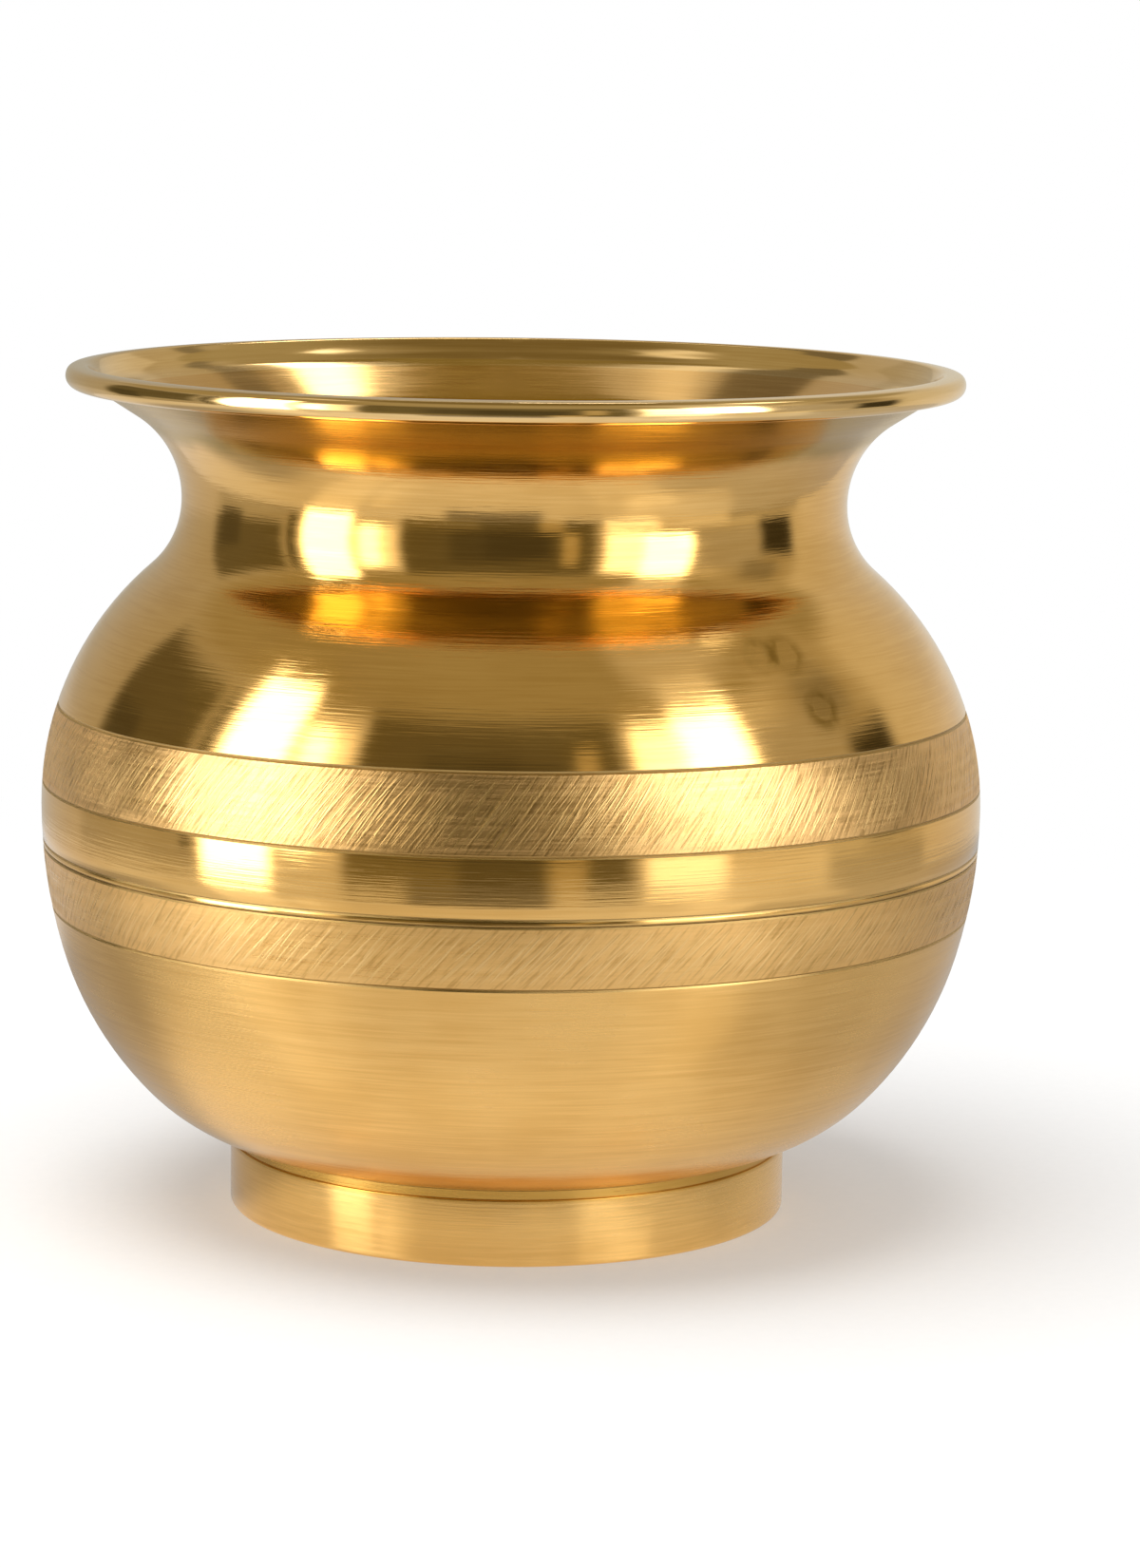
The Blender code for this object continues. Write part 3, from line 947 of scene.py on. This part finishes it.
HATCH = hatch_tree()
print("hatch tree:", len(HATCH.nodes), "nodes")

# %% Hatch the two bands
BAND_MARGIN = 0.3 * MM
STRIP_SHARES = (0.28, 0.42, 0.58, 0.72)


def hatch(name, low, high, arc, slant, spacing, longest, width, rise):
    """Strokes between two heights of the belly, whose section there is an arc."""
    edge = HALF_LINE + BAND_MARGIN
    skin = sorted(upper_pen().points + bowl_pen().points, key=lambda p: p.y)
    strip = [at_height(skin, low + (high - low) * share) for share in STRIP_SHARES]
    strip_piece = turn(name + "_strip", (strip, graver))
    ground = strip_piece.data.copy()
    bpy.data.objects.remove(strip_piece)
    values = {"Spacing": spacing, "Longest": longest, "Width": width, "Rise": rise, "Slant": slant}
    values |= {"Low": low + edge, "High": high - edge, "Arc": arc, "Finish": graver}
    strokes = grown(name, ground, HATCH, values)
    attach(strokes, "root")
    print(f"{name}: {len(strokes.data.polygons)} faces")


hatch(
    "upper_hatching", UPPER_LINES[1], UPPER_LINES[0], SHOULDER_ARC, UPPER_SLANT,
    spacing=0.72 * MM, longest=8.0 * MM, width=0.19 * MM, rise=0.013 * MM,
)
hatch(
    "lower_hatching", LOWER_LINE, SEAM_HEIGHT, BELLY_ARC, LOWER_SLANT,
    spacing=0.95 * MM, longest=7.0 * MM, width=0.19 * MM, rise=0.010 * MM,
)

# %% [markdown]
# ## Floor and light
# The floor is a wide pale disc. Near the pot it shows a soft shadow, and further out it fades to
# the white of the background, by Light Path's Is Camera Ray. The brass mirrors the floor too, and
# there Is Glossy Ray gives it a light of its own and a slight gloss, as a table top has: bright by
# the foot, dimmer further out, and shaded towards the dark boards that the brass reflects as well.
# One broad lamp overhead and a pale world light the floor.

# %% Floor
FLOOR_RADIUS = 3.0
FLOOR_GRAIN = 900.0
FLOOR_GREY, FLOOR_PALE = (0.86, 0.86, 0.855, 1.0), (0.90, 0.90, 0.895, 1.0)
FLOOR_ROUGHNESS = 0.13
FADE_START, FADE_END = 0.04, 0.24
# near the pot this share of the floor is painted white, which lightens its shadow
LIFTED_SHADOW = 0.30
MIRRORED_SHARE = 0.55
MIRRORED_NEAR, MIRRORED_FAR = 1.06, 0.60
SHADED_RIGHT, SHADED_LEFT, SHADED_FRONT = 0.62, 0.45, 0.30
BRIGHT_STREAK = 1.7
# limits of direction in degrees, and of distance from the axis in metres
FOOT_NEAR = (0.034, 0.065)
FRONT_SIDE, FRONT_FAR = (-22, 9), (0.135, 0.165)
LEFT_SIDE, LEFT_NEAR = (-95, -60), (0.09, 0.15)
RIGHT_SIDE = (20, 75)
STREAK_SIDE, STREAK_FAR = (36, 76), (0.09, 0.12)


def shaded_floor(w, direction, far):
    """How dark the mirrored floor is: less light on the right, near on the left and far in front."""
    front = w.product(w.between(direction, *FRONT_SIDE, 3), w.ramp(far, *FRONT_FAR))
    left = w.product(w.ramp(direction, *LEFT_SIDE, 1.0, 0.0), w.ramp(far, *LEFT_NEAR, 1.0, 0.0))
    right = w.ramp(direction, *RIGHT_SIDE, 1.0, SHADED_RIGHT)
    return w.product(right, w.ramp(front, 0, 1, 1.0, SHADED_FRONT), w.ramp(left, 0, 1, 1.0, SHADED_LEFT))


def mirrored_floor(w, direction, far, shade):
    """The light of the mirrored floor: strong by the foot, weaker further out, with one streak."""
    light = w.ramp(far, *FOOT_NEAR, MIRRORED_NEAR, MIRRORED_FAR)
    streak = w.product(w.between(direction, *STREAK_SIDE, 6), w.ramp(far, *STREAK_FAR))
    return w.product(light, w.product(shade, w.ramp(streak, 0, 1, 1.0, BRIGHT_STREAK)))


def make_floor():
    material = new_material("pale_floor")
    w, shader = wired(material)
    path = w.add("ShaderNodeLightPath").outputs
    place = w.place()
    x, y, _ = w.split(place)
    direction = w.math("DEGREES", w.direction(x, y))
    far = w.add("ShaderNodeVectorMath", {0: place}, operation="LENGTH").outputs["Value"]
    tint = w.mix(w.noise(w.scaled(place, FLOOR_GRAIN)), FLOOR_GREY, FLOOR_PALE)
    gloss = path["Is Glossy Ray"]
    w.feed(shader, {"Base Color": tint, "Roughness": FLOOR_ROUGHNESS, "Specular IOR Level": gloss})
    shade = shaded_floor(w, direction, far)
    mirrored = mirrored_floor(w, direction, far, shade)
    in_brass = w.product(gloss, w.ramp(shade, 0.0, 1.0, 1.0, MIRRORED_SHARE, smooth=False))
    in_picture = w.ramp(far, FADE_START, FADE_END, LIFTED_SHADOW, 1.0)
    share = w.ramp(path["Is Camera Ray"], 0.0, 1.0, in_brass, in_picture, smooth=False)
    light = w.ramp(path["Is Camera Ray"], 0.0, 1.0, mirrored, 1.0, smooth=False)
    white = w.out("ShaderNodeEmission", {"Strength": light})
    blend = w.out("ShaderNodeMixShader", {0: share, 1: shader.outputs[0], 2: white})
    w.plug(blend, w.tree.nodes["Material Output"].inputs["Surface"])
    bpy.ops.mesh.primitive_circle_add(vertices=96, radius=FLOOR_RADIUS, fill_type="NGON")
    floor = bpy.context.object
    floor.name = "floor"
    floor.data.materials.append(material)


make_floor()
print(f"floor {2 * FLOOR_RADIUS:.0f} m across")

# %% Lamp and world
LAMP_SIZE, LAMP_POWER = 0.7, 7.0
LAMP_PLACE = Vector((-0.15, -0.10, 0.9))
WORLD_LIGHT = 0.55


def make_lamp():
    data = bpy.data.lights.new("overhead_lamp", "AREA")
    data.shape = "DISK"
    data.size = LAMP_SIZE
    data.energy = LAMP_POWER
    lamp = bpy.data.objects.new("overhead_lamp", data)
    lamp.location = LAMP_PLACE
    lamp.rotation_euler = (-LAMP_PLACE).to_track_quat("-Z", "Y").to_euler()
    lamp.visible_glossy = False
    bpy.context.scene.collection.objects.link(lamp)


def seen_directly(w):
    """1 for rays from the camera, from mirrors and through glass."""
    path = w.add("ShaderNodeLightPath").outputs
    mirrored = w.math("MAXIMUM", path["Is Glossy Ray"], path["Is Transmission Ray"])
    return w.math("MAXIMUM", path["Is Camera Ray"], mirrored)


def make_world():
    world = bpy.data.worlds.new("pale_world")
    world.use_nodes = True
    w = Wiring(world.node_tree)
    strength = w.ramp(seen_directly(w), 0.0, 1.0, WORLD_LIGHT, 1.0, smooth=False)
    w.feed(w.tree.nodes["Background"], {"Color": (1.0, 1.0, 1.0, 1.0), "Strength": strength})
    bpy.context.scene.world = world


make_lamp()
make_world()
print(f"a lamp of {LAMP_POWER} W overhead, and a pale world")

# %% [markdown]
# ## What the brass reflects
# A polished pot shows what stands round it. A photographer builds a tent of white and dark boards
# round such an object. Here the tent is a dome that only mirror-like rays can see, so it doesn't
# light the floor or show in the picture. Real planes would do too, but paint is easier to move: the
# material mixes the boards by direction, each over the ones before it. There are two bright boards
# in front, dark ones between and beside them, pale ones behind, and a dim one overhead.

# %% Boards of the tent
TENT_RADIUS = 0.22
TENT_GREY = (0.45, 0.43, 0.36, 1.0)
WHITE, CREAM, TAN = (1.0, 1.0, 0.98), (1.0, 0.97, 0.88), (1.0, 0.92, 0.70)
GOLDEN, BROWN = (1.0, 0.86, 0.52), (1.0, 0.90, 0.52)
BOARDS = (
    # limits of direction and of elevation and the soft edge, all in degrees, then colour and strength
    # a pale board on the right, a dim one overhead with a darker middle, and two pale ones behind
    ((20, 180), (-5, 90), 12, (1.0, 0.96, 0.82), 0.66),
    ((-180, 180), (47, 95), 3, (1.0, 0.90, 0.58), 0.38),
    ((-180, 180), (74, 95), 6, (1.0, 0.82, 0.40), 0.20),
    ((108, 190), (-4, 20), 5, CREAM, 0.73),
    ((-190, -116), (-4, 14), 4, CREAM, 0.56),
    # low boards on both sides
    ((-116, -30), (-4, 4), 2, CREAM, 0.43),
    ((24, 108), (-4, 4), 2, CREAM, 0.43),
    ((46, 74), (-4, 8), 2, CREAM, 0.85),
    # dark boards in front, with a few lit edges
    ((-36, 26), (-1, 48), 2.5, BROWN, 0.15),
    ((-20, 2), (0, 38), 3, BROWN, 0.10),
    ((-9, 12), (0, 35), 3, BROWN, 0.08),
    ((-36, 8), (-1, 9), 2, BROWN, 0.24),
    ((-11, 8), (-1, 9), 2, BROWN, 0.14),
    ((8, 16), (-2, 10), 2, GOLDEN, 0.50),
    ((15, 20), (12, 40), 1.5, GOLDEN, 0.53),
    # the bright board on the left, and dark ones beside it
    ((-54, -36), (-3, 46), 2, CREAM, 0.75),
    ((-55, -38), (9, 42), 3, CREAM, 1.9),
    ((-49.5, -43), (9, 41), 2, WHITE, 4.5),
    ((-71, -53.5), (-3, 50), 2, WHITE, 6.2),
    ((-115, -80), (12, 43), 2.5, BROWN, 0.14),
    ((-112, -100), (8, 28), 2, BROWN, 0.09),
    ((-77.5, -74), (5, 43), 1.2, BROWN, 0.12),
    # the bright board on the right, pale ones above and beside it, and a dark one at the end
    ((36, 72), (54, 68), 5, CREAM, 0.62),
    ((42, 60), (46, 56), 4, WHITE, 1.0),
    ((72, 104), (28, 54), 5, TAN, 0.48),
    ((53, 86), (10, 40), 4, CREAM, 0.47),
    ((29, 41), (12, 45), 2, WHITE, 3.0),
    ((41, 58), (14, 46.5), 2.5, WHITE, 6.2),
    ((29, 47), (0, 10), 2, WHITE, 1.9),
    ((80, 96), (34, 46), 4, TAN, 0.28),
    ((86, 102), (7, 30), 3, BROWN, 0.05),
    # high up, where the inner side of the lip looks
    ((75, 95), (61, 68), 3, WHITE, 2.5),
    ((-98, -66), (68, 73), 3, CREAM, 1.0),
    # high up behind the pot, where the inside of the mouth looks
    ((140, 190), (44, 53), 1, TAN, 0.50),
    ((140, 190), (53, 57), 0.8, TAN, 0.24),
    ((140, 190), (57, 60), 0.8, TAN, 0.45),
    ((163, 190), (60, 64), 0.5, WHITE, 5.0),
    ((160, 190), (64.2, 66), 0.6, TAN, 0.36),
    ((-190, -140), (44, 53), 1, CREAM, 0.52),
    ((-190, -140), (53, 61), 0.6, TAN, 0.20),
    ((-190, -163), (61, 67), 0.6, CREAM, 0.65),
    ((-190, -163), (62.4, 65), 0.6, CREAM, 1.05),
    ((150, 190), (66, 76), 0.6, (1.0, 0.82, 0.32), 0.24),
    ((-190, -150), (67, 76), 0.6, (1.0, 0.82, 0.34), 0.24),
)


def make_tent():
    material = new_material("tent_boards")
    w, shader = wired(material)
    w.tree.nodes.remove(shader)
    x, y, z = w.split(w.place())
    direction = w.math("DEGREES", w.direction(x, y))
    elevation = w.math("DEGREES", w.math("ARCSINE", w.math("DIVIDE", z, TENT_RADIUS)))
    light = TENT_GREY
    for (left, right), (low, high), edge, colour, strength in BOARDS:
        across, up = w.between(direction, left, right, edge), w.between(elevation, low, high, edge)
        light = w.mix(w.product(across, up), light, tuple(c * strength for c in colour) + (1.0,))
    emission = w.out("ShaderNodeEmission", {"Color": light})
    w.plug(emission, w.tree.nodes["Material Output"].inputs["Surface"])
    bpy.ops.mesh.primitive_uv_sphere_add(segments=96, ring_count=64, radius=TENT_RADIUS)
    tent = bpy.context.object
    tent.name = "light_tent"
    tent.data.materials.append(material)
    for rays in ("camera", "diffuse", "shadow", "transmission"):
        setattr(tent, f"visible_{rays}", False)


make_tent()
print(len(BOARDS), "boards in the tent")

# %% [markdown]
# ## Finish
# The colours are shown as they are written, with the Standard view.

# %% View
bpy.context.scene.view_settings.view_transform = "Standard"
